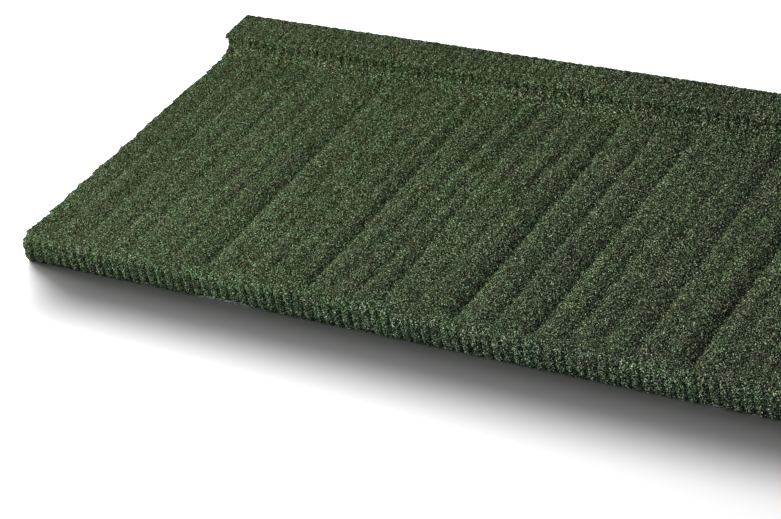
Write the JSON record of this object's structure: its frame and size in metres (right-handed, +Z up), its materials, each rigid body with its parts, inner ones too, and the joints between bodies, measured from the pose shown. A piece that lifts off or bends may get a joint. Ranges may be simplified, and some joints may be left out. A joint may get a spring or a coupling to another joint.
{
  "type": "tile effect metal roofing sheet",
  "caption": "Long pressed roofing sheet with a grooved shake-like pan, a fluted downturned nose and a rear upstand with flange, coated in green stone chippings.",
  "frame": {"origin": "middle of the footprint on the floor, with the sheet lying unheld on its front foot and on the rear of its pan", "axes": "+X along the sheet from its left end to its right end seen from the front, +Y from the nose to the rear flange, +Z up"},
  "size_m": [1.33, 0.4194, 0.0303],
  "materials": {
    "chipping_coat": "rough coat of small dark green stone chippings on galvanised steel"
  },
  "bodies": {
    "root": {"roofing_sheet": "chipping_coat"}
  },
  "joints": []
}
